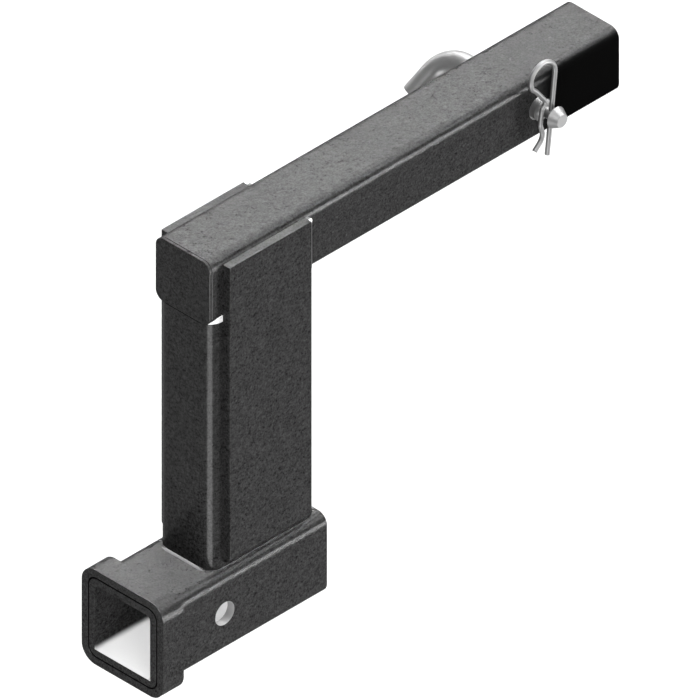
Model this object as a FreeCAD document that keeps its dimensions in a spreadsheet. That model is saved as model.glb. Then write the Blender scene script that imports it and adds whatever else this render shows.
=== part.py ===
import FreeCAD, Part
import math
import os

import Sketcher

# Receiver hitch: a rising adapter of welded square tube, with its bent hitch pin and spring clip.
# Frame: +X along the shank to its free end, +Z up, origin in the middle of the receiver's pin hole.
# Every size is in millimetres and every angle in degrees.

SIZES = (
    # Receiver: 2 inch socket tube and the ring round its mouth
    ("receiver_wall", 6.1, "wall of the receiver tube"),
    ("socket_gap", 0.25, "free space on each side of a shank in the socket"),
    ("socket_side", "=shank_side + 2 * socket_gap", "inside of the receiver tube"),
    ("receiver_side", "=socket_side + 2 * receiver_wall", "outside of the receiver tube"),
    ("receiver_corner", 8.0, "outside corner radius"),
    ("receiver_inner_corner", 3.2, "corner radius of the socket"),
    ("receiver_front", -63.5, "mouth of the receiver, 2.5 inches before the pin hole"),
    ("receiver_length", 158.75, "length of the receiver tube"),
    ("hole_diameter", 17.46, "pin holes, for the 15.88 pin"),
    ("collar_wall", 6.35, "wall of the ring"),
    ("collar_side", "=receiver_side + 2 * collar_wall", "outside of the ring"),
    ("collar_depth", 19.05, "length of the ring along the tube"),
    ("collar_corner", 12.7, "outside corner radius of the ring"),
    ("collar_corner_gap", 0.5, "inner corners of the ring are sharper than the tube by this"),
    ("seam_bevel", 0.6, "bevel on both sides of the seam at the mouth"),
    # Post: rectangular upright
    ("post_near", -7.6, "near face of the post and near end of the shank"),
    ("post_long", 101.6, "post along the shank"),
    ("post_wide", "=shank_side", "post across the shank, equal so that the plates lie flat on both"),
    ("post_wall", 6.35, "wall of the post"),
    ("post_corner", 11.5, "outside corner radius of the post"),
    ("post_height", 198.35, "from the receiver's top to the shank's underside"),
    # Shank: 2 inch bar of square tube with a closed near end
    ("shank_side", 50.8, "outside of the shank"),
    ("shank_wall", 6.35, "wall of the shank"),
    ("shank_corner", 7.6, "outside corner radius of the shank"),
    ("shank_length", 381.2, "whole length with the end cap"),
    ("cap_thickness", 2.3, "plate on the near end"),
    ("cap_bevel", 0.4, "bevel on both sides of the cap and on the tube behind it"),
    ("shank_hole_place", 298.6, "pin hole of the shank, along X"),
    # Side plates
    ("plate_thickness", 6.35, "thickness of the side plates"),
    ("plate_margin", 25.4, "the plates are narrower than the post by this"),
    ("plate_wide", "=post_long - plate_margin", "width of the side plates"),
    ("plate_setback", 12.2, "from the post's near face to the plate's near edge"),
    ("plate_foot_gap", 8.45, "the plates end this far above the receiver"),
    ("plate_rise", 2.4, "the plates end this far above where the shank's corners begin to round"),
    (
        "plate_height",
        "=post_height + shank_side - shank_corner + plate_rise - plate_foot_gap",
        "height of the side plates",
    ),
    # Hitch pin
    ("pin_diameter", 15.88, "body of the pin"),
    ("pin_body_end", -29.0, "where the turned neck begins, along Y"),
    ("neck_diameter", 7.5, "turned neck for the clip"),
    ("ring_place", -41.4, "sharp ring edge beyond the neck"),
    ("ring_diameter", 16.0, "ring edge"),
    ("tip_place", -47.5, "flat tip of the pin"),
    ("tip_diameter", 9.6, "flat of the tip"),
    ("neck_near_radius", 4.1, "hollow between the body and the neck"),
    ("neck_far_cut", 2.5, "slope between the neck and the ring"),
    ("bend_start", 43.1, "where the bend begins, along Y"),
    ("bend_radius", 21.8, "centreline of the bend"),
    ("bend_angle", 73.0, "turn of the bend"),
    ("handle_length", 19.5, "straight handle after the bend"),
    ("handle_turn", 40.8, "the handle hangs this far round from straight down"),
    ("handle_chamfer", 0.4, "chamfer on the handle's end"),
    # Spring clip
    ("wire_diameter", 3.5, "wire of the clip"),
    ("wire_hole", 3.8, "hole through the neck for the clip's leg"),
    ("clip_place", -36.8, "plane of the clip, along Y"),
    ("leg_lean", 6.5, "lean of the straight leg from upright"),
    ("leg_below", 30.4, "leg below the pin's axis"),
    ("leg_above", 32.8, "leg above the pin's axis"),
    ("loop_radius", 11.2, "round pull loop"),
    ("loop_turn", 207.0, ""),
    ("heel_radius", 6.0, "tight bend where the loop closes"),
    ("heel_turn", 33.0, ""),
    ("back_radius", 12.0, "slack bend after the heel"),
    ("back_turn", 17.0, ""),
    ("run_length", 12.3, "straight run down to the shoulder"),
    ("shoulder_radius", 4.0, "shoulder that rides over the pin"),
    ("shoulder_turn", 93.0, ""),
    ("seat_top_radius", 3.0, "upper end of the seat"),
    ("seat_top_turn", 48.0, ""),
    ("seat_length", 9.7, "seat that lies beside the neck"),
    ("seat_end_radius", 5.0, "lower end of the seat"),
    ("seat_end_turn", 26.0, ""),
    ("ramp_length", 4.1, "ramp in to the throat"),
    ("throat_radius", 9.0, "throat under the pin"),
    ("throat_turn", 65.0, ""),
    ("flare_length", 6.1, "flared tip that guides the clip on"),
    # Weld beads
    ("base_leg", 1.3, "fillet at the foot of the post"),
    ("base_short", 6.2, "it stops this far short of the middles of the post's corners"),
    ("base_drop", 1.25, "how far it reaches down the receiver's rounded corners"),
    ("edge_leg", 2.2, "fillet from the plate's far edge along the shank"),
    ("edge_bulge", 4.5, "radius of its rounded face"),
    ("edge_top_gap", 0.3, "it ends this far under the plate's top"),
    ("under_leg", 3.6, "fillet below the plate's lower edge"),
    ("under_bulge", 7.2, "radius of its rounded face"),
    ("top_leg", 3.2, "fillet at the back of the post's top"),
    ("top_bulge", 4.0, "radius of its rounded face"),
    ("groove_thin", 0.35, "thinnest metal left in the groove beads"),
    ("groove_height", 4.4, "height of the groove beads"),
)

doc = FreeCAD.newDocument("receiver_hitch")
sheet = doc.addObject("Spreadsheet::Sheet", "sizes")
for row, (alias, amount, note) in enumerate(SIZES, start=1):
    sheet.set("A%d" % row, alias.replace("_", " "))
    sheet.set("B%d" % row, str(amount))
    sheet.setAlias("B%d" % row, alias)
    sheet.set("C%d" % row, note)
doc.recompute()
size = {alias: float(sheet.get(alias)) for alias, amount, note in SIZES}

RECEIVER_TOP = "sizes.receiver_side / 2"
SHANK_UNDER = "sizes.receiver_side / 2 + sizes.post_height"
SHANK_AXIS = SHANK_UNDER + " + sizes.shank_side / 2"
SHANK_SHOULDER = SHANK_UNDER + " + sizes.shank_side - sizes.shank_corner"
POST_MIDDLE = "sizes.post_near + sizes.post_long / 2"
PLATE_NEAR = "sizes.post_near + sizes.plate_setback"
PLATE_FAR = PLATE_NEAR + " + sizes.plate_wide"
PLATE_UNDER = SHANK_SHOULDER + " + sizes.plate_rise - sizes.plate_height"


# Helpers: bodies, sketches on the body's own planes, and pads
def new_body(name):
    body = doc.addObject("PartDesign::Body", name)
    body.Label = name
    return body


def sketch_on(body, role, name, **offsets):
    sketch = body.newObject("Sketcher::SketchObject", name)
    plane = [item for item in body.Origin.OriginFeatures if item.Role == role][0]
    sketch.AttachmentSupport = (plane, [""])
    sketch.MapMode = "FlatFace"
    for axis, text in offsets.items():
        sketch.setExpression(".AttachmentOffset.Base." + axis, text)
    return sketch


def limit(sketch, constraint, name, text):
    index = sketch.addConstraint(constraint)
    sketch.renameConstraint(index, name)
    sketch.setExpression("Constraints." + name, text)


def point(x, y):
    return FreeCAD.Vector(x, y, 0)


def arc(centre, radius, start, end):
    circle = Part.Circle(point(*centre), FreeCAD.Vector(0, 0, 1), radius)
    return Part.ArcOfCircle(circle, start, end)


def rounded(sketch, wide, high, corner):
    """Rectangle with round corners, its middle in the sketch's origin."""
    half_w = float(doc.sizes.evalExpression(wide)) / 2
    half_h = float(doc.sizes.evalExpression(high)) / 2
    r = float(doc.sizes.evalExpression(corner))
    turn = math.pi / 2
    pieces = []
    for k, (sx, sy) in enumerate(((1, 1), (-1, 1), (-1, -1), (1, -1))):
        centre = (sx * (half_w - r), sy * (half_h - r))
        pieces.append(sketch.addGeometry(arc(centre, r, k * turn, (k + 1) * turn)))
    ends = (
        ((half_w - r, half_h), (r - half_w, half_h)),
        ((-half_w, half_h - r), (-half_w, r - half_h)),
        ((r - half_w, -half_h), (half_w - r, -half_h)),
        ((half_w, r - half_h), (half_w, half_h - r)),
    )
    sides = []
    for start, end in ends:
        sides.append(sketch.addGeometry(Part.LineSegment(point(*start), point(*end))))
    for k in range(4):
        sketch.addConstraint(Sketcher.Constraint("Tangent", pieces[k], 2, sides[k], 1))
        sketch.addConstraint(Sketcher.Constraint("Tangent", sides[k], 2, pieces[(k + 1) % 4], 1))
        way = "Horizontal" if k % 2 == 0 else "Vertical"
        sketch.addConstraint(Sketcher.Constraint(way, sides[k]))
    for k in range(1, 4):
        sketch.addConstraint(Sketcher.Constraint("Equal", pieces[0], pieces[k]))
    sketch.addConstraint(Sketcher.Constraint("Symmetric", pieces[0], 3, pieces[2], 3, -1, 1))
    limit(sketch, Sketcher.Constraint("Radius", pieces[0], r), "corner", corner)
    limit(sketch, Sketcher.Constraint("DistanceX", sides[1], 1, sides[3], 1, 2 * half_w), "wide", wide)
    limit(sketch, Sketcher.Constraint("DistanceY", sides[2], 1, sides[0], 1, 2 * half_h), "high", high)


def rectangle(sketch, wide, high):
    """Sharp rectangle with its middle in the sketch's origin."""
    half_w = float(doc.sizes.evalExpression(wide)) / 2
    half_h = float(doc.sizes.evalExpression(high)) / 2
    marks = ((-half_w, -half_h), (half_w, -half_h), (half_w, half_h), (-half_w, half_h))
    sides = []
    for k in range(4):
        line = Part.LineSegment(point(*marks[k]), point(*marks[(k + 1) % 4]))
        sides.append(sketch.addGeometry(line))
    for k in range(4):
        sketch.addConstraint(Sketcher.Constraint("Coincident", sides[k], 2, sides[(k + 1) % 4], 1))
        way = "Horizontal" if k % 2 == 0 else "Vertical"
        sketch.addConstraint(Sketcher.Constraint(way, sides[k]))
    sketch.addConstraint(Sketcher.Constraint("Symmetric", sides[0], 1, sides[2], 1, -1, 1))
    limit(sketch, Sketcher.Constraint("DistanceX", sides[0], 1, sides[0], 2, 2 * half_w), "wide", wide)
    limit(sketch, Sketcher.Constraint("DistanceY", sides[1], 1, sides[1], 2, 2 * half_h), "high", high)


def circle(sketch, diameter, height="0"):
    """Circle over the sketch's origin, moved up by the height."""
    across = float(doc.sizes.evalExpression(diameter))
    up = float(doc.sizes.evalExpression(height))
    ring = sketch.addGeometry(Part.Circle(point(0, up), FreeCAD.Vector(0, 0, 1), across / 2))
    sketch.addConstraint(Sketcher.Constraint("DistanceX", -1, 1, ring, 3, 0))
    limit(sketch, Sketcher.Constraint("DistanceY", -1, 1, ring, 3, up), "up", height)
    limit(sketch, Sketcher.Constraint("Diameter", ring, across), "across", diameter)


def pad(body, sketch, name, length, reverse=False, both=False):
    feature = body.newObject("PartDesign::Pad", name)
    feature.Profile = sketch
    feature.Reversed = reverse
    if both:
        feature.SideType = "Symmetric"
    feature.setExpression("Length", length)
    body.Tip = feature
    return feature


def pocket(body, sketch, name, length, both=False, reverse=False):
    feature = body.newObject("PartDesign::Pocket", name)
    feature.Profile = sketch
    feature.Reversed = reverse
    if both:
        feature.SideType = "Symmetric"
    feature.setExpression("Length", length)
    body.Tip = feature
    return feature


def cross_hole(body, name, place, height):
    """Pin hole through both side walls, along Y."""
    sketch = sketch_on(body, "XZ_Plane", name + "_circle", x=place)
    circle(sketch, "sizes.hole_diameter", height)
    return pocket(body, sketch, name, "sizes.collar_side * 2", both=True)


def round_edges(body, kind, name, choose, radius):
    """Fillet or chamfer on the edges of the tip that the chooser accepts."""
    doc.recompute()
    tip = body.Tip
    chosen = []
    for number, edge in enumerate(tip.Shape.Edges, start=1):
        if choose(edge):
            chosen.append("Edge%d" % number)
    feature = body.newObject("PartDesign::" + kind, name)
    feature.Base = (tip, chosen)
    feature.setExpression("Radius" if kind == "Fillet" else "Size", radius)
    body.Tip = feature
    return feature


# Receiver tube: the lower square socket with its cross pin hole
receiver = new_body("receiver_tube")
outline = sketch_on(receiver, "YZ_Plane", "receiver_outline", z="sizes.receiver_front")
rounded(outline, "sizes.receiver_side", "sizes.receiver_side", "sizes.receiver_corner")
pad(receiver, outline, "receiver_bar", "sizes.receiver_length")


def at_mouth(edge):
    """Chooser for the mouth's edges, no further out than the receiver tube."""
    box = edge.BoundBox
    out = max(box.YMax, box.ZMax, -box.YMin, -box.ZMin)
    return box.XMax < size["receiver_front"] + 0.01 and out < size["receiver_side"] / 2 + 0.01


round_edges(receiver, "Chamfer", "mouth_bevel", at_mouth, "sizes.seam_bevel")
opening = sketch_on(receiver, "YZ_Plane", "socket_outline", z="sizes.receiver_front")
rounded(opening, "sizes.socket_side", "sizes.socket_side", "sizes.receiver_inner_corner")
pocket(receiver, opening, "socket", "sizes.receiver_length * 2", both=True)
cross_hole(receiver, "receiver_hole", "0", "0")

# Receiver collar: the ring round the mouth, flush with the tube's front
collar = new_body("receiver_collar")
outline = sketch_on(collar, "YZ_Plane", "collar_outline", z="sizes.receiver_front")
rounded(outline, "sizes.collar_side", "sizes.collar_side", "sizes.collar_corner")
pad(collar, outline, "collar_block", "sizes.collar_depth")
opening = sketch_on(collar, "YZ_Plane", "collar_opening", z="sizes.receiver_front")
COLLAR_INSIDE_CORNER = "sizes.receiver_corner - sizes.collar_corner_gap"
rounded(opening, "sizes.receiver_side", "sizes.receiver_side", COLLAR_INSIDE_CORNER)
pocket(collar, opening, "collar_bore", "sizes.collar_depth * 3", both=True)
round_edges(collar, "Chamfer", "collar_bevel", at_mouth, "sizes.seam_bevel")

# Post: the upright rectangular tube between the receiver and the shank
post = new_body("post_tube")
outline = sketch_on(post, "XY_Plane", "post_outline", x=POST_MIDDLE, z=RECEIVER_TOP)
rounded(outline, "sizes.post_long", "sizes.post_wide", "sizes.post_corner")
pad(post, outline, "post_bar", "sizes.post_height")
hollow = sketch_on(post, "XY_Plane", "post_hollow_outline", x=POST_MIDDLE, z=RECEIVER_TOP)
POST_HOLLOW_LONG = "sizes.post_long - 2 * sizes.post_wall"
POST_HOLLOW_WIDE = "sizes.post_wide - 2 * sizes.post_wall"
rounded(hollow, POST_HOLLOW_LONG, POST_HOLLOW_WIDE, "sizes.post_corner - sizes.post_wall")
pocket(post, hollow, "post_hollow", "sizes.post_height * 3", both=True)

# Shank: the long square tube that slides into the vehicle's receiver
shank = new_body("shank_tube")
TUBE_START = "sizes.post_near + sizes.cap_thickness"
TUBE_LENGTH = "sizes.shank_length - sizes.cap_thickness"
outline = sketch_on(shank, "YZ_Plane", "shank_outline", y=SHANK_AXIS, z=TUBE_START)
rounded(outline, "sizes.shank_side", "sizes.shank_side", "sizes.shank_corner")
pad(shank, outline, "shank_bar", TUBE_LENGTH)
tube_near = size["post_near"] + size["cap_thickness"]
round_edges(
    shank,
    "Chamfer",
    "seam_bevel",
    lambda edge: edge.BoundBox.XMax < tube_near + 0.01,
    "sizes.cap_bevel",
)
hollow = sketch_on(shank, "YZ_Plane", "shank_hollow_outline", y=SHANK_AXIS, z=TUBE_START)
SHANK_HOLLOW = "sizes.shank_side - 2 * sizes.shank_wall"
rounded(hollow, SHANK_HOLLOW, SHANK_HOLLOW, "sizes.shank_corner * 0.35")
pocket(shank, hollow, "shank_hollow", "sizes.shank_length * 3", both=True)
cross_hole(shank, "shank_hole", "sizes.shank_hole_place", SHANK_AXIS)

# End cap: the plate that closes the shank's near end
cap = new_body("shank_end_cap")
outline = sketch_on(cap, "YZ_Plane", "cap_outline", y=SHANK_AXIS, z="sizes.post_near")
rounded(outline, "sizes.shank_side", "sizes.shank_side", "sizes.shank_corner")
pad(cap, outline, "cap_plate", "sizes.cap_thickness")
round_edges(cap, "Chamfer", "cap_edges", lambda edge: edge.BoundBox.XLength < 0.01, "sizes.cap_bevel")

# Side plates: one flat bar on each side, over the post and the shank
for side, name in ((1, "left_side_plate"), (-1, "right_side_plate")):
    plate = new_body(name)
    outline = sketch_on(
        plate,
        "XZ_Plane",
        name + "_outline",
        x=PLATE_NEAR + " + sizes.plate_wide / 2",
        y=PLATE_UNDER + " + sizes.plate_height / 2",
        z="%d * sizes.post_wide / 2" % -side,
    )
    rectangle(outline, "sizes.plate_wide", "sizes.plate_height")
    pad(plate, outline, name + "_bar", "sizes.plate_thickness", reverse=side > 0)

# Foot welds: a ring round the post, cut to the post and the receiver, of which the two ends are kept
ring = new_body("foot_weld_ring")
outline = sketch_on(
    ring,
    "XY_Plane",
    "ring_outline",
    x=POST_MIDDLE,
    z=RECEIVER_TOP + " - sizes.base_drop",
)
RING_LONG = "sizes.post_long + 2 * sizes.base_leg"
RING_WIDE = "sizes.post_wide + 2 * sizes.base_leg"
rounded(outline, RING_LONG, RING_WIDE, "sizes.post_corner + sizes.base_leg")
pad(ring, outline, "ring_block", "sizes.base_leg + sizes.base_drop")
ring_top = size["receiver_side"] / 2 + size["base_leg"]
round_edges(
    ring,
    "Chamfer",
    "ring_slope",
    lambda edge: abs(edge.BoundBox.ZMin - ring_top) < 0.01 and edge.BoundBox.ZLength < 0.01,
    "sizes.base_leg * 0.75",
)
opening = sketch_on(
    ring,
    "XY_Plane",
    "ring_post",
    x=POST_MIDDLE,
    z=RECEIVER_TOP,
)
rounded(opening, "sizes.post_long", "sizes.post_wide", "sizes.post_corner")
pocket(ring, opening, "ring_post_cut", "sizes.base_leg * 6", both=True)
seat = sketch_on(ring, "YZ_Plane", "ring_receiver")
rounded(seat, "sizes.receiver_side", "sizes.receiver_side", "sizes.receiver_corner")
pocket(ring, seat, "ring_receiver_cut", "sizes.receiver_length * 2", both=True)


def wedge(name, place, angle):
    """Square block with its corner on the post's middle line, turned to face one end."""
    block = doc.addObject("Part::Box", name)
    block.setExpression("Length", "sizes.post_long")
    block.setExpression("Width", "sizes.post_long")
    block.setExpression("Height", "sizes.receiver_side")
    block.Placement.Rotation = FreeCAD.Rotation(FreeCAD.Vector(0, 0, 1), angle)
    block.setExpression(".Placement.Base.x", place)
    return block


WEDGE_IN = "sizes.post_wide / 2 - sizes.base_short"
front = wedge("front_wedge", "sizes.post_near + " + WEDGE_IN, 135)
rear = wedge("rear_wedge", "sizes.post_near + sizes.post_long - (%s)" % WEDGE_IN, -45)
for name, tool in (("post_base_weld_front", front), ("post_base_weld_rear", rear)):
    bead = doc.addObject("Part::Common", name)
    bead.Base = ring
    bead.Tool = tool
    bead.Label = name


def bead_profile(sketch, across, up, sx, sy, bulge):
    """Two legs from the sketch's origin closed by a rounded face."""
    a = float(doc.sizes.evalExpression(across))
    b = float(doc.sizes.evalExpression(up))
    r = float(doc.sizes.evalExpression(bulge))
    tips = [(sx * a, 0.0), (0.0, sy * b)]
    chord = math.hypot(a, b)
    depth = math.sqrt(r * r - chord * chord / 4)
    centre = (sx * a / 2 - sx * depth * b / chord, sy * b / 2 - sy * depth * a / chord)
    angles = [math.atan2(y - centre[1], x - centre[0]) for x, y in tips]
    turns = (angles[1] - angles[0]) % (2 * math.pi)
    first, last = (0, 1) if turns < math.pi else (1, 0)
    end = angles[first] + (angles[last] - angles[first]) % (2 * math.pi)
    foot = sketch.addGeometry(Part.LineSegment(point(0, 0), point(*tips[0])))
    back = sketch.addGeometry(Part.LineSegment(point(0, 0), point(*tips[1])))
    face = sketch.addGeometry(arc(centre, r, angles[first], end))
    for line in (foot, back):
        sketch.addConstraint(Sketcher.Constraint("Coincident", line, 1, -1, 1))
    sketch.addConstraint(Sketcher.Constraint("Horizontal", foot))
    sketch.addConstraint(Sketcher.Constraint("Vertical", back))
    corners = (foot, back)
    sketch.addConstraint(Sketcher.Constraint("Coincident", face, 1, corners[first], 2))
    sketch.addConstraint(Sketcher.Constraint("Coincident", face, 2, corners[last], 2))
    limit(sketch, Sketcher.Constraint("Distance", foot, a), "across", across)
    limit(sketch, Sketcher.Constraint("Distance", back, b), "up", up)
    limit(sketch, Sketcher.Constraint("Radius", face, r), "bulge", bulge)


# Plate welds: along the far edge on the shank, and under the lower edge on the post
EDGE_RUN = "sizes.shank_side - 2 * sizes.shank_corner + sizes.plate_rise - sizes.edge_top_gap"
for side, word in ((1, "left"), (-1, "right")):
    bead = new_body(word + "_plate_edge_weld")
    profile = sketch_on(
        bead,
        "XY_Plane",
        word + "_edge_profile",
        x=PLATE_FAR,
        y="%d * sizes.shank_side / 2" % side,
        z=SHANK_UNDER + " + sizes.shank_corner",
    )
    bead_profile(profile, "sizes.edge_leg", "sizes.plate_thickness", 1, side, "sizes.edge_bulge")
    pad(bead, profile, word + "_edge_bar", EDGE_RUN)
    bead = new_body(word + "_plate_foot_weld")
    profile = sketch_on(
        bead,
        "YZ_Plane",
        word + "_foot_profile",
        x="%d * sizes.post_wide / 2" % side,
        y=PLATE_UNDER,
        z=PLATE_NEAR,
    )
    bead_profile(profile, "sizes.plate_thickness", "sizes.under_leg", side, -1, "sizes.under_bulge")
    pad(bead, profile, word + "_foot_bar", "sizes.plate_wide")

# Post top welds: beads in the grooves under the shank's rounded corners, before and after the plates
POST_FAR = "sizes.post_near + sizes.post_long"
FRONT_RUN = ("sizes.post_near", "sizes.plate_setback")
REAR_RUN = (PLATE_FAR, "sizes.plate_margin - sizes.plate_setback")
GROOVE_DEEP = "sqrt(2 * sizes.shank_corner * sizes.groove_thin - sizes.groove_thin ^ 2)"
GROOVE_WIDE = "sizes.shank_corner - " + GROOVE_DEEP
for side, word in ((1, "left"), (-1, "right")):
    for end, (start, run) in (("front", FRONT_RUN), ("rear", REAR_RUN)):
        name = "post_top_weld_%s_%s" % (word, end)
        bead = new_body(name)
        outline = sketch_on(bead, "XY_Plane", name + "_outline", x=POST_MIDDLE, z=SHANK_UNDER)
        rounded(outline, "sizes.post_long", "sizes.post_wide", "sizes.post_corner")
        pad(bead, outline, name + "_block", "sizes.groove_height")
        shape = sketch_on(bead, "YZ_Plane", name + "_shank", y=SHANK_AXIS)
        rounded(shape, "sizes.shank_side", "sizes.shank_side", "sizes.shank_corner")
        pocket(bead, shape, name + "_shank_cut", "sizes.shank_length * 2", both=True)
        piece = doc.addObject("Part::Box", name + "_part")
        piece.setExpression("Length", run)
        piece.setExpression("Width", GROOVE_WIDE)
        piece.setExpression("Height", "sizes.shank_side")
        piece.setExpression(".Placement.Base.x", start)
        inner = "sizes.shank_side / 2 - (%s)" % GROOVE_WIDE
        near = inner if side > 0 else "-sizes.shank_side / 2"
        piece.setExpression(".Placement.Base.y", near)
        piece.setExpression(".Placement.Base.z", SHANK_UNDER)
        bead.Label = name + "_groove"
        bead_part = doc.addObject("Part::Common", name + "_bead")
        bead_part.Base = bead
        bead_part.Tool = piece
        bead_part.Label = name
bead = new_body("post_top_weld_back")
profile = sketch_on(bead, "XZ_Plane", "top_back_profile", x=POST_FAR, y=SHANK_UNDER)
bead_profile(profile, "sizes.top_leg", "sizes.top_leg", 1, -1, "sizes.top_bulge")
pad(bead, profile, "top_back_bar", "sizes.post_wide - 2 * sizes.post_corner", both=True)

# Hitch pin: turned body, neck, ring and cone, and a bent handle, drawn in a frame turned to the bend
pin = new_body("hitch_pin")
pin.Placement.Rotation = FreeCAD.Rotation(FreeCAD.Vector(0, 1, 0), size["handle_turn"])
pin.setExpression(".Placement.Base.x", "sizes.shank_hole_place")
pin.setExpression(".Placement.Base.z", SHANK_AXIS)
pin.setExpression(".Placement.Rotation.Angle", "sizes.handle_turn")
turned = sketch_on(pin, "XY_Plane", "turned_profile")
RIM = (
    ("0", "0"),
    ("sizes.pin_diameter / 2", "0"),
    ("sizes.pin_diameter / 2", "sizes.pin_body_end"),
    ("sizes.neck_diameter / 2", "sizes.pin_body_end"),
    ("sizes.neck_diameter / 2", "sizes.ring_place"),
    ("sizes.ring_diameter / 2", "sizes.ring_place"),
    ("sizes.tip_diameter / 2", "sizes.tip_place"),
    ("0", "sizes.tip_place"),
)
places = []
for out, along in RIM:
    places.append(point(*[float(doc.sizes.evalExpression(text)) for text in (out, along)]))
lines = []
for k, place in enumerate(places):
    lines.append(turned.addGeometry(Part.LineSegment(place, places[(k + 1) % len(places)])))
for k, (out, along) in enumerate(RIM):
    turned.addConstraint(Sketcher.Constraint("Coincident", lines[k - 1], 2, lines[k], 1))
    for way, text, amount in (("X", out, places[k].x), ("Y", along, places[k].y)):
        mark = Sketcher.Constraint("Distance" + way, -1, 1, lines[k], 1, amount)
        limit(turned, mark, "mark_%s%d" % (way.lower(), k), text)
spun = pin.newObject("PartDesign::Revolution", "turned_end")
spun.Profile = turned
spun.ReferenceAxis = (turned, ["V_Axis"])
spun.Angle = 360
pin.Tip = spun


def neck_edge(place):
    """Chooser for the neck's edge circle at the given place along the pin."""

    def choose(edge):
        middle = edge.BoundBox.Center
        small = edge.BoundBox.DiagonalLength < size["neck_diameter"] * 1.5
        return small and edge.BoundBox.YLength < 0.01 and abs(middle.y - place) < 0.01

    return choose


round_edges(pin, "Fillet", "neck_near", neck_edge(size["pin_body_end"]), "sizes.neck_near_radius")
round_edges(pin, "Chamfer", "neck_far", neck_edge(size["ring_place"]), "sizes.neck_far_cut")

bend = math.radians(size["bend_angle"])
radius = size["bend_radius"]
knee = size["bend_start"]
turn_end = (knee + radius * math.sin(bend), radius * (math.cos(bend) - 1))
reach = (math.cos(bend) * size["handle_length"], -math.sin(bend) * size["handle_length"])
spine = sketch_on(pin, "YZ_Plane", "bend_line")
stem = spine.addGeometry(Part.LineSegment(point(0, 0), point(knee, 0)))
curve = spine.addGeometry(arc((knee, -radius), radius, math.pi / 2 - bend, math.pi / 2))
grip_end = (turn_end[0] + reach[0], turn_end[1] + reach[1])
grip = spine.addGeometry(Part.LineSegment(point(*turn_end), point(*grip_end)))
spine.addConstraint(Sketcher.Constraint("Coincident", stem, 1, -1, 1))
spine.addConstraint(Sketcher.Constraint("Horizontal", stem))
spine.addConstraint(Sketcher.Constraint("Tangent", stem, 2, curve, 2))
spine.addConstraint(Sketcher.Constraint("Tangent", curve, 1, grip, 1))
limit(spine, Sketcher.Constraint("Distance", stem, knee), "stem", "sizes.bend_start")
limit(spine, Sketcher.Constraint("Radius", curve, radius), "bend", "sizes.bend_radius")
limit(spine, Sketcher.Constraint("Distance", grip, size["handle_length"]), "grip", "sizes.handle_length")
limit(spine, Sketcher.Constraint("Angle", curve, bend), "turn", "sizes.bend_angle * 1 deg")
bar = sketch_on(pin, "XZ_Plane", "pin_section")
circle(bar, "sizes.pin_diameter")
swept = pin.newObject("PartDesign::AdditivePipe", "bent_handle")
swept.Profile = bar
swept.Spine = (spine, ["Edge1", "Edge2", "Edge3"])
pin.Tip = swept


def handle_rim(edge):
    """Chooser for the edge circle at the handle's end, the lowest one."""
    lowest = grip_end[1] - size["pin_diameter"] / 2 - 0.5
    middle = edge.BoundBox.Center
    near = math.hypot(middle.y - grip_end[0], middle.z - grip_end[1]) < 0.5
    return near and edge.BoundBox.ZMin > lowest and edge.BoundBox.XLength > size["pin_diameter"] * 0.9


round_edges(pin, "Chamfer", "handle_end", handle_rim, "sizes.handle_chamfer")
drill = sketch_on(pin, "XY_Plane", "clip_hole_circle")
drill.AttachmentOffset = FreeCAD.Placement(
    FreeCAD.Vector(0, 0, 0),
    FreeCAD.Rotation(FreeCAD.Vector(0, 1, 0), size["leg_lean"] - size["handle_turn"]),
)
drill.setExpression(".AttachmentOffset.Rotation.Angle", "sizes.leg_lean - sizes.handle_turn")
circle(drill, "sizes.wire_hole", "sizes.clip_place")
pocket(pin, drill, "clip_hole", "sizes.pin_diameter * 2", both=True)

# Spring clip: one wire bent in a plane, a straight leg, a pull loop and a waved arm
clip = new_body("spring_clip")
clip.Placement.Rotation = FreeCAD.Rotation(FreeCAD.Vector(0, 1, 0), size["leg_lean"])
clip.setExpression(".Placement.Base.x", "sizes.shank_hole_place")
clip.setExpression(".Placement.Base.y", "sizes.clip_place")
clip.setExpression(".Placement.Base.z", SHANK_AXIS)
clip.setExpression(".Placement.Rotation.Angle", "sizes.leg_lean")
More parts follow.
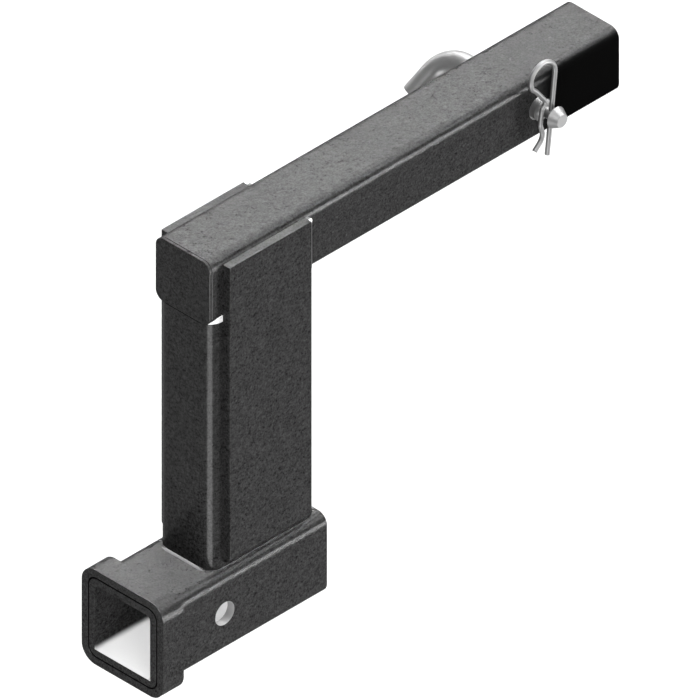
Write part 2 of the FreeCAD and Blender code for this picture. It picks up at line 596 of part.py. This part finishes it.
# Each bend is a word for its radius and turn, +1 to the left and -1 to the right of the wire's way
WIRE = (
    ("leg", 0),
    ("loop", 1),
    ("heel", 1),
    ("back", -1),
    ("run", 0),
    ("shoulder", -1),
    ("seat_top", 1),
    ("seat", 0),
    ("seat_end", 1),
    ("ramp", 0),
    ("throat", -1),
    ("flare", 0),
)
path = sketch_on(clip, "XZ_Plane", "wire_line")
heading = math.pi / 2
x, y = 0.0, -size["leg_below"]
previous = None
for word, hand in WIRE:
    if hand == 0:
        length = size["leg_below"] + size["leg_above"] if word == "leg" else size[word + "_length"]
        far = (x + length * math.cos(heading), y + length * math.sin(heading))
        piece = path.addGeometry(Part.LineSegment(point(x, y), point(*far)))
        first, last = 1, 2
        text = "sizes.leg_below + sizes.leg_above" if word == "leg" else "sizes.%s_length" % word
        limit(path, Sketcher.Constraint("Distance", piece, length), word, text)
    else:
        radius = size[word + "_radius"]
        turn = math.radians(size[word + "_turn"])
        centre = (x - hand * radius * math.sin(heading), y + hand * radius * math.cos(heading))
        start = heading - hand * math.pi / 2
        end = start + hand * turn
        piece = path.addGeometry(arc(centre, radius, min(start, end), max(start, end)))
        first, last = (1, 2) if hand > 0 else (2, 1)
        far = (centre[0] + radius * math.cos(end), centre[1] + radius * math.sin(end))
        heading = heading + hand * turn
        limit(path, Sketcher.Constraint("Radius", piece, radius), word, "sizes.%s_radius" % word)
        limit(path, Sketcher.Constraint("Angle", piece, turn), word + "_sweep", "sizes.%s_turn * 1 deg" % word)
    if previous is None:
        path.addConstraint(Sketcher.Constraint("Vertical", piece))
        path.addConstraint(Sketcher.Constraint("DistanceX", -1, 1, piece, 1, 0))
        limit(path, Sketcher.Constraint("DistanceY", -1, 1, piece, 1, y), "foot", "-sizes.leg_below")
    else:
        path.addConstraint(Sketcher.Constraint("Tangent", previous[0], previous[1], piece, first))
    previous = (piece, last)
    x, y = far
section = sketch_on(clip, "XY_Plane", "wire_section", z="-sizes.leg_below")
circle(section, "sizes.wire_diameter")
wire = clip.newObject("PartDesign::AdditivePipe", "bent_wire")
wire.Profile = section
wire.Spine = (path, ["Edge%d" % number for number in range(1, len(WIRE) + 1)])
clip.Tip = wire

doc.recompute()

# Look over every object, then write one file a piece
NODES = (
    "receiver_tube",
    "receiver_collar",
    "post_tube",
    "shank_tube",
    "shank_end_cap",
    "left_side_plate",
    "right_side_plate",
    "post_base_weld_front",
    "post_base_weld_rear",
    "left_plate_edge_weld",
    "right_plate_edge_weld",
    "left_plate_foot_weld",
    "right_plate_foot_weld",
    "post_top_weld_left_front",
    "post_top_weld_right_front",
    "post_top_weld_left_rear",
    "post_top_weld_right_rear",
    "post_top_weld_back",
    "hitch_pin",
    "spring_clip",
)
for item in doc.Objects:
    if "Invalid" in item.State or "Error" in item.State:
        raise RuntimeError("not computed: %s %s" % (item.Label, item.State))
os.makedirs("parts", exist_ok=True)
for name in NODES:
    item = doc.getObjectsByLabel(name)[0]
    shape = item.Shape
    if shape.isNull() or not shape.isValid() or len(shape.Solids) != 1:
        raise RuntimeError("bad shape: %s, %d solids" % (name, len(shape.Solids)))
    print("%-26s volume %10.1f mm3" % (name, shape.Volume))
    shape.exportStep("parts/%s.step" % name)
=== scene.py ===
import bpy
from mathutils import Matrix, Vector

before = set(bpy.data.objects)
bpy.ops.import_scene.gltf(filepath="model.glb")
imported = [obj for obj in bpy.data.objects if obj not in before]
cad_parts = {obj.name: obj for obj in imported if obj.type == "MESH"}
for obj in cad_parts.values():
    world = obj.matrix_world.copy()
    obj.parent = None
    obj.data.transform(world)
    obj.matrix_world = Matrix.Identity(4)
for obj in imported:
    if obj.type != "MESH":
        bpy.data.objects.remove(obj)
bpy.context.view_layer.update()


# Receiver tube and ring: the lower socket, a square steel tube with a short square ring slid over
# its mouth and welded. All the steelwork has one textured black powder coat, put on after it was
# welded; the socket's lower side and the pin holes' walls have a lighter grey, a painted
# reflection, that fades up the socket's lower corners as painted shade.
class Value:
    """One output of a material's nodes; + - * ** and the methods below add the nodes. Without a
    socket it starts a chain of them."""

    def __init__(self, tree, socket=None):
        self.tree = tree
        self.socket = socket

    def node(self, kind, out, inputs, **settings):
        """Adds any node, with its settings and inputs, and gives one of its outputs."""
        made = self.tree.nodes.new("ShaderNode" + kind)
        for name, setting in settings.items():
            setattr(made, name, setting)
        for name, given in inputs.items():
            feed(self.tree, made.inputs[name], given)
        return Value(self.tree, made.outputs[out])

    def maths(self, operation, first, second):
        return self.node("Math", 0, {0: first, 1: second}, operation=operation)

    def __add__(self, other):
        return self.maths("ADD", self, other)

    def __radd__(self, other):
        return self.maths("ADD", other, self)

    def __sub__(self, other):
        return self.maths("SUBTRACT", self, other)

    def __rsub__(self, other):
        return self.maths("SUBTRACT", other, self)

    def __mul__(self, other):
        return self.maths("MULTIPLY", self, other)

    def __rmul__(self, other):
        return self.maths("MULTIPLY", other, self)

    def __pow__(self, other):
        return self.maths("POWER", self, other)

    def __abs__(self):
        return self.maths("ABSOLUTE", self, 0)

    def most(self, other):
        """The larger of the two."""
        return self.maths("MAXIMUM", self, other)

    def step(self, low, high):
        """0 below low, 1 above high, smooth between."""
        shares = {"Value": self, "From Min": low, "From Max": high}
        return self.node("MapRange", 0, shares, interpolation_type="SMOOTHSTEP")

    def fade(self, low, high):
        """1 below low, 0 above high, smooth between."""
        return 1.0 - self.step(low, high)

    def noise(self, size, detail=2.0, rough=0.5):
        """Noise from 0 to 1 whose lumps are about size metres wide."""
        inputs = {"Vector": self, "Scale": 1 / size, "Detail": detail, "Roughness": rough}
        return self.node("TexNoise", 0, inputs)

    def axes(self):
        """The three numbers of a place."""
        parts = self.node("SeparateXYZ", 0, {"Vector": self})
        return [Value(self.tree, socket) for socket in parts.socket.node.outputs]

    def stretch(self, way, share):
        """The place with its part along the unit vector way cut to the share, which draws a
        pattern out along that way."""
        along = self.node("VectorMath", "Value", {0: self, 1: way}, operation="DOT_PRODUCT")
        less = {0: way, "Scale": along * (1 - share)}
        part = self.node("VectorMath", 0, less, operation="SCALE")
        return self.node("VectorMath", 0, {0: self, 1: part}, operation="SUBTRACT")


def feed(tree, socket, given):
    """Links a value to a socket, or sets the socket's number."""
    if isinstance(given, Value):
        tree.links.new(given.socket, socket)
    else:
        socket.default_value = given


def finish_of(name, place_inputs):
    """A new material whose named surface inputs are what the function gives for a place."""
    made = bpy.data.materials.new(name)
    made.use_nodes = True
    tree = made.node_tree
    surface = tree.nodes["Principled BSDF"]
    place = Value(tree).node("TexCoord", "Object", {})
    for socket, given in place_inputs(place).items():
        feed(tree, surface.inputs[socket], given)
    return made


def dress(finish, *nodes):
    """Puts one material on the named CAD nodes."""
    for node in nodes:
        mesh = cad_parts[node].data
        mesh.materials.clear()
        mesh.materials.append(finish)


def bump(height, distance):
    """A surface that the height, from 0 to 1, raises by up to the distance in metres."""
    return height.node("Bump", 0, {"Strength": 1.0, "Distance": distance, "Height": height})


def apart(one, other):
    """The length of two distances at right angles: the root of the sum of their squares."""
    return (one ** 2.0 + other ** 2.0) ** 0.5


MM = 0.001
COAT_GREY = 0.012
SLANT, STREAK_THIN, SPECK_THIN = Vector((1, -1, 0.5)).normalized(), 0.2, 0.4
GRAIN, STREAK, SPECK, CLOUD = 1.4 * MM, 2.6 * MM, 3.4 * MM, 14 * MM
GRAIN_SHARE, STREAK_SHARE, SPECK_SHARE, CLOUD_SHARE = 4.4, 1.6, 0.7, 0.4
SPECK_EDGE = (0.70, 0.78)
GLOSS, EVEN_GLOSS, GRAIN_GLOSS = 0.17, 0.55, 0.9
GRAIN_RISE, STREAK_RISE, COAT_RELIEF = 0.6, 0.6, 0.19 * MM

# painted shade in the two seams: how much darker the coat is painted there, and where
SEAM_SHADE_DARKNESS = 0.95
MOUTH, MOUTH_EDGE = -63.5 * MM, (0.0, 0.1 * MM)
SEAM_FLAT, SEAM_CORNER = 23.75 * MM, 8.0 * MM
SEAM_HALF, SEAM_DEEP = (0.6 * MM, 0.75 * MM), (0.7 * MM, 0.9 * MM)
CAP_UNDER, CAP_JOIN_HALF = 230.3 * MM, (0.25 * MM, 0.4 * MM)
CAP_JOIN_BACK = (-7.3 * MM, -7.1 * MM)

# painted reflection: a lighter grey on the socket's lower side and the holes' walls, faded up the
# corners as painted shade
SOCKET_WALL = (25.8 * MM, 25.9 * MM)
SOCKET_REFLECTION_FADE, SOCKET_REFLECTION_POWER = (-25.5 * MM, -21.3 * MM), 2.2
HOLES = ((0.0, 0.0), (298.6 * MM, 255.5 * MM))
HOLE_WALL = (8.85 * MM, 8.9 * MM)
FLOOR_REFLECTION_GREY, HOLE_REFLECTION_GREY = 0.36, 0.17


def painted_seam_shade(x, y, z):
    """1 in the two narrow seams, where the coat is darkened as painted shade for the gap. At the
    mouth, between tube and ring, it is a thin band about a square with rounded corners: what lies
    past the flat half of each side is measured by the corner's radius. Under the end cap it is a
    thin band in height, at the cap's face."""
    past_flat = [(abs(side) - SEAM_FLAT).most(0) for side in (y, z)]
    off_seam = abs(apart(*past_flat) - SEAM_CORNER)
    depth = x - MOUTH
    at_mouth = off_seam.fade(*SEAM_HALF) * depth.step(*MOUTH_EDGE) * depth.fade(*SEAM_DEEP)
    under_cap = abs(z - CAP_UNDER).fade(*CAP_JOIN_HALF) * x.fade(*CAP_JOIN_BACK)
    return at_mouth + under_cap


def painted_socket_reflection(x, y, z):
    """How much of the painted reflection there is, and its lighter grey times that: inside the
    socket it fades with the height over the lower side, by a power, as painted shade up the
    corner, and round each pin hole's axis it reaches the hole's wall."""
    inside = abs(y).fade(*SOCKET_WALL) * abs(z).fade(*SOCKET_WALL)
    # painted shade up the socket's lower corners: the lighter grey fades with the height
    reflection_share = inside * z.fade(*SOCKET_REFLECTION_FADE) ** SOCKET_REFLECTION_POWER
    reflection_grey = FLOOR_REFLECTION_GREY * reflection_share
    for hole_x, hole_z in HOLES:
        wall = apart(x - hole_x, z - hole_z).fade(*HOLE_WALL)
        reflection_share = reflection_share + wall
        reflection_grey = reflection_grey + HOLE_REFLECTION_GREY * wall
    return reflection_share, reflection_grey


def powder_coat(place):
    """The coat's grey, times one plus the shares of grain, streaks and clouds about their middle
    and of the pale specks, darkened nearly to black in the seams as painted shade, and in its
    stead the lighter grey of the painted reflection in the socket and the holes. Grain and streaks
    raise it, and its clear gloss grows with the grain and is gone in the seams."""
    x, y, z = place.axes()
    grain = place.noise(GRAIN, detail=3.0, rough=0.7)
    streak = place.stretch(SLANT, STREAK_THIN).noise(STREAK)
    specks = place.stretch(SLANT, SPECK_THIN).noise(SPECK, detail=1.0).step(*SPECK_EDGE)
    uneven = GRAIN_SHARE * (grain - 0.5) + STREAK_SHARE * (streak - 0.5)
    uneven = uneven + CLOUD_SHARE * (place.noise(CLOUD) - 0.5) + SPECK_SHARE * specks
    seam_shade = painted_seam_shade(x, y, z)
    reflection_share, reflection_grey = painted_socket_reflection(x, y, z)
    # the seams are painted nearly black, and lose their gloss, as shade in the gaps
    coat_shade = COAT_GREY * (1.0 + uneven) * (1.0 - SEAM_SHADE_DARKNESS * seam_shade)
    return {
        "Base Color": coat_shade * (1.0 - reflection_share) + reflection_grey,
        "Roughness": 0.6,
        "Specular IOR Level": 0.0,
        "Coat Weight": GLOSS * (EVEN_GLOSS + GRAIN_GLOSS * grain) * (1.0 - seam_shade),
        "Coat Roughness": 0.2,
        "Normal": bump(GRAIN_RISE * grain + STREAK_RISE * streak, COAT_RELIEF),
    }


coat = finish_of("black_powder_coat", powder_coat)
dress(coat, "receiver_tube", "receiver_collar")

# Post tube: the upright, a rectangular steel tube. It stands on the receiver, carries the shank
# and is welded to both.
dress(coat, "post_tube")

# Shank and end cap: the square steel tube that slides into the vehicle's own receiver, with a
# plate welded over its near end. Past the pin its sides are dead black, without gloss.
DULL_GREY = 0.0015
DULL_FROM, DULL_SIDE = (286 * MM, 312 * MM), (20.5 * MM, 24.8 * MM)


def dull_end(made):
    """Blends the coat into dead black by the distance along the shank times the distance out."""
    tree = made.node_tree
    x, y, _ = Value(tree).node("TexCoord", "Object", {}).axes()
    past_pin = x.step(*DULL_FROM) * abs(y).step(*DULL_SIDE)
    colour = (DULL_GREY, DULL_GREY, DULL_GREY, 1)
    dull_inputs = {"Base Color": colour, "Roughness": 1.0, "Specular IOR Level": 0.0}
    dull = past_pin.node("BsdfPrincipled", 0, dull_inputs)
    glossy = Value(tree, tree.nodes["Principled BSDF"].outputs[0])
    both = past_pin.node("MixShader", 0, {0: past_pin, 1: glossy, 2: dull})
    feed(tree, tree.nodes["Material Output"].inputs["Surface"], both)


dull_end(coat)
dress(coat, "shank_tube", "shank_end_cap")

# Side plates: flat steel bars welded over both sides of post and shank, to stiffen the corner.
# The beads under their feet are coated with them.
dress(coat, "left_side_plate", "right_side_plate")
dress(coat, "left_plate_foot_weld", "right_plate_foot_weld")

# Weld beads: bare, bright metal with fine ripples, at the post's foot and under the shank. The
# foot's bead thins out under the coat towards its ends. The two beads along the plates' far edges
# are coated too, and bare only in a spot at their upper ends.
WELD_GREY, FOOT_WELD_GREY, BEAD_GREY_FROM = 0.55, 0.2, (100 * MM, 101 * MM)
RIPPLE, RIPPLE_RELIEF, RIPPLE_LOW, RIPPLE_SPAN = 1.2 * MM, 0.25 * MM, 0.75, 0.5
EDGE_BEAD_FROM = (236 * MM, 237 * MM)
SPOT_FROM, SPOT_OUT = (274.0 * MM, 274.6 * MM), (28.3 * MM, 28.9 * MM)
FOOT_TOP, FOOT_FULL, FOOT_TAPER, FOOT_EDGE = 33.0 * MM, 15.0 * MM, 0.22, (0.0, 0.25 * MM)


def weld_metal(place):
    """Ripples about the bead's grey, which is darker at the foot; and the coat's grey over the
    edge beads but for their spot, and over the foot bead past a line that falls with the distance
    from its middle."""
    _, y, z = place.axes()
    ripple = place.noise(RIPPLE)
    out = abs(y)
    upper = z.step(*BEAD_GREY_FROM)
    spot = z.step(*SPOT_FROM) * out.step(*SPOT_OUT)
    thin_end = (out - FOOT_FULL) * FOOT_TAPER + (z - FOOT_TOP)
    coated = z.step(*EDGE_BEAD_FROM) * (1.0 - spot) + (1.0 - upper) * thin_end.step(*FOOT_EDGE)
    grey = FOOT_WELD_GREY + (WELD_GREY - FOOT_WELD_GREY) * upper
    grey = grey * (RIPPLE_LOW + RIPPLE_SPAN * ripple)
    return {
        "Base Color": grey * (1.0 - coated) + COAT_GREY * coated,
        "Roughness": 0.45,
        "Specular IOR Level": 0.3,
        "Normal": bump(ripple, RIPPLE_RELIEF),
    }


bare_beads = [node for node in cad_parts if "weld" in node and "foot" not in node]
dress(finish_of("bare_weld_metal", weld_metal), *bare_beads)

# Hitch pin and spring clip: the pin is turned and bent from round steel bar and stands in the
# shank's cross hole. The clip is bent from spring wire and holds it. Both are zinc plated.
ZINC_GREY, HAZE, HAZE_LOW, HAZE_SPAN = 0.12, 3 * MM, 0.9, 0.2
ZINC_ROUGH, HAZE_ROUGH = 0.36, 0.15


def zinc_plate(place):
    """A soft haze that makes the plate a tenth lighter or darker, and duller where lighter."""
    haze = place.noise(HAZE, detail=3.0, rough=0.6)
    return {
        "Base Color": ZINC_GREY * (HAZE_LOW + HAZE_SPAN * haze),
        "Roughness": ZINC_ROUGH + HAZE_ROUGH * haze,
        "Metallic": 0.85,
    }


dress(finish_of("bright_zinc", zinc_plate), "hitch_pin", "spring_clip")

# Camera: parallel view along the diagonal of the three axes, as the photograph has it. The middle
# of the picture is given along the picture's own two sides.
PIXELS, PIXELS_PER_MM = 700, 1.5187
MIDDLE_RIGHT, MIDDLE_UP = 104.9 * MM, 160.5 * MM
CAMERA_AWAY = 2.0
right = Vector((1, -1, 0)).normalized()
up = Vector((1, 1, 2)).normalized()
back = Vector((-1, -1, 1)).normalized()
lens = bpy.data.cameras.new("camera")
lens.type = "ORTHO"
lens.ortho_scale = PIXELS / PIXELS_PER_MM * MM
lens.clip_start = 0.01
lens.clip_end = 20
camera = bpy.data.objects.new("camera", lens)
turn = Matrix((right, up, back)).transposed()
place = right * MIDDLE_RIGHT + up * MIDDLE_UP + back * CAMERA_AWAY
camera.matrix_world = Matrix.Translation(place) @ turn.to_4x4()
bpy.context.scene.collection.objects.link(camera)
bpy.context.scene.camera = camera

# Floor and sky: white where the camera, or a reflection, sees them, and dim otherwise, so that the
# black coat keeps its depth. The floor is far below, since a vehicle holds the shank. It takes the
# part's shadow, and blocks no lamp, since two lamps shine from slightly below.
FLOOR_HALF, FLOOR_LOW = 6.0, -0.9
FLOOR_CORNERS = ((-1, -1), (1, -1), (1, 1), (-1, 1))
FLOOR_DIM, FLOOR_SEEN = 0.08, 0.20
SKY_DIM, SKY_SEEN = 0.12, 0.88


def seen_share(tree):
    """1 for camera, glossy and transmission rays, and 0 for the rest."""
    kinds = ("Is Camera Ray", "Is Glossy Ray", "Is Transmission Ray")
    camera_ray, glossy, through = [Value(tree).node("LightPath", kind, {}) for kind in kinds]
    return camera_ray.most(glossy.most(through))


corners = [(x * FLOOR_HALF, y * FLOOR_HALF, FLOOR_LOW) for x, y in FLOOR_CORNERS]
floor_mesh = bpy.data.meshes.new("floor")
floor_mesh.from_pydata(corners, [], [(0, 1, 2, 3)])
floor = bpy.data.objects.new("floor", floor_mesh)
floor.visible_shadow = False
bpy.context.scene.collection.objects.link(floor)
paper = bpy.data.materials.new("white_paper")
paper.use_nodes = True
surface = paper.node_tree.nodes["Principled BSDF"]
floor_grey = FLOOR_DIM + FLOOR_SEEN * seen_share(paper.node_tree)
feed(paper.node_tree, surface.inputs["Base Color"], floor_grey)
surface.inputs["Roughness"].default_value = 1.0
surface.inputs["Specular IOR Level"].default_value = 0.0
floor_mesh.materials.append(paper)

world = bpy.data.worlds.new("studio")
world.use_nodes = True
bpy.context.scene.world = world
sky = world.node_tree.nodes["Background"]
sky_strength = SKY_DIM + SKY_SEEN * seen_share(world.node_tree)
feed(world.node_tree, sky.inputs["Strength"], sky_strength)
sky.inputs["Color"].default_value = (1, 1, 1, 1)

# Lamps: each a broad soft light, given by the way that it comes from, its strength and its width
# in radians. The one behind casts no shadow, or the post would darken the receiver's top, and the
# strip is seen in the gloss alone. A square lamp low in front lights the upright corners.
LAMPS = (
    ("front", (-1.0, -1.0, 1.0), 3.8, 1.0),
    ("overhead", (0.05, 0.15, 1.0), 1.6, 0.6),
    ("shoulder", (0.58, -0.24, 0.78), 7.0, 0.95),
    ("behind", (0.58, 0.39, 0.72), 5.3, 0.8),
    ("rim", (0.27, 0.89, 0.45), 3.0, 1.0),
    ("side", (0.57, -0.79, -0.16), 2.8, 0.45),
    ("strip", (0.577, -0.785, -0.20), 2.4, 0.6),
)
LOW_PLACE, LOW_AIM = Vector((-0.70, -0.72, -0.62)), Vector((0, 0, 0.12))
LOW_WIDTH, LOW_STRENGTH = 0.6, 17.0


def hang(lamp, way, at=(0, 0, 0)):
    """Puts the lamp in the scene so that its light comes from the way given."""
    made = bpy.data.objects.new(lamp.name, lamp)
    made.location = at
    made.rotation_mode = "QUATERNION"
    made.rotation_quaternion = way.to_track_quat("Z", "Y")
    bpy.context.scene.collection.objects.link(made)
    return made


for name, way, strength, width in LAMPS:
    lamp = bpy.data.lights.new(name, "SUN")
    lamp.energy = strength
    lamp.angle = width
    lamp.use_shadow = name != "behind"
    # its light is then reached by shadow rays alone, which the floor lets through
    lamp.cycles.use_multiple_importance_sampling = False
    hang(lamp, Vector(way)).visible_diffuse = name != "strip"

low_lamp = bpy.data.lights.new("low_front", "AREA")
low_lamp.size = LOW_WIDTH
low_lamp.energy = LOW_STRENGTH
hang(low_lamp, LOW_PLACE - LOW_AIM, LOW_PLACE)

bpy.context.scene.view_settings.view_transform = "Standard"
